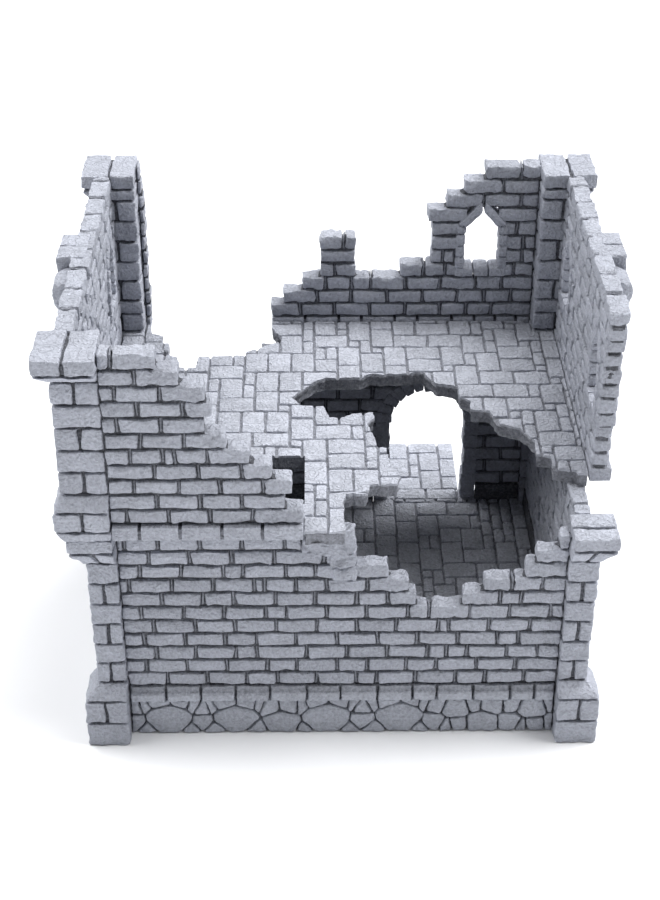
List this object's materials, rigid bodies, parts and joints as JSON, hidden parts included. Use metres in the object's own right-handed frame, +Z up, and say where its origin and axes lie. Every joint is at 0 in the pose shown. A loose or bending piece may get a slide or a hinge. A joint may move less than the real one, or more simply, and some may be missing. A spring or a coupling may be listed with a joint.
{
  "type": "miniature terrain ruin",
  "caption": "Two-storey ruined stone building for tabletop figures, with a lift-off upper storey, corner piers, an arched doorway, lancet windows and broken walls and floor.",
  "frame": {"origin": "on the underside, in the middle of the four corner piers of the ground storey", "axes": "+X to the right seen from the broken front wall, +Y to the back where the doorway is, +Z up"},
  "size_m": [0.1604, 0.147, 0.1344],
  "materials": {
    "masonry": "matte grey printed plastic, moulded as coursed brickwork",
    "dressed_stone": "matte grey printed plastic, moulded as squared stone blocks",
    "rubble": "matte grey printed plastic, moulded as rubble stones",
    "paving": "matte grey printed plastic, moulded as flagstones"
  },
  "bodies": {
    "ground_storey": {"door_arch": "dressed_stone", "door_threshold": "paving", "ground_floor": "paving", "ground_pier_base_back_left": "dressed_stone", "ground_pier_base_back_right": "dressed_stone", "ground_pier_base_front_left": "dressed_stone", "ground_pier_base_front_right": "dressed_stone", "ground_pier_capital_back_left": "dressed_stone", "ground_pier_capital_back_right": "dressed_stone", "ground_pier_capital_front_left": "dressed_stone", "ground_pier_capital_front_right": "dressed_stone", "ground_pier_shaft_back_left": "dressed_stone", "ground_pier_shaft_back_right": "dressed_stone", "ground_pier_shaft_front_left": "dressed_stone", "ground_pier_shaft_front_right": "dressed_stone", "ground_wall_back": "masonry", "ground_wall_front": "masonry", "ground_wall_left": "masonry", "ground_wall_right": "masonry", "landing": "paving", "plinth_back_left": "rubble", "plinth_back_right": "rubble", "plinth_front": "rubble", "plinth_left": "rubble", "plinth_right": "rubble"},
    "upper_storey": {"bracket_left": "dressed_stone", "bracket_right": "dressed_stone", "ledge_back": "dressed_stone", "ledge_back_left": "dressed_stone", "ledge_front": "dressed_stone", "ledge_left": "dressed_stone", "ledge_right": "dressed_stone", "pilaster_cap_left": "dressed_stone", "pilaster_cap_right": "dressed_stone", "pilaster_left": "dressed_stone", "pilaster_right": "dressed_stone", "upper_floor": "paving", "upper_pier_base_back_left": "dressed_stone", "upper_pier_base_back_right": "dressed_stone", "upper_pier_base_front_left": "dressed_stone", "upper_pier_capital_back_left": "dressed_stone", "upper_pier_capital_back_right": "dressed_stone", "upper_pier_capital_front_left": "dressed_stone", "upper_pier_shaft_back_left": "dressed_stone", "upper_pier_shaft_back_right": "dressed_stone", "upper_pier_shaft_front_left": "dressed_stone", "upper_wall_back": "masonry", "upper_wall_back_stub": "masonry", "upper_wall_front": "masonry", "upper_wall_left": "masonry", "upper_wall_right": "masonry", "window_frame_back": "dressed_stone", "window_frame_left_front": "dressed_stone", "window_frame_left_rear": "dressed_stone", "window_frame_right_front": "dressed_stone", "window_frame_right_rear": "dressed_stone"}
  },
  "joints": [
    {"name": "upper_storey_lift", "type": "slide", "parent": "ground_storey", "child": "upper_storey", "axis": [0, 0, 1], "range_m": [0, 0.06]}
  ]
}
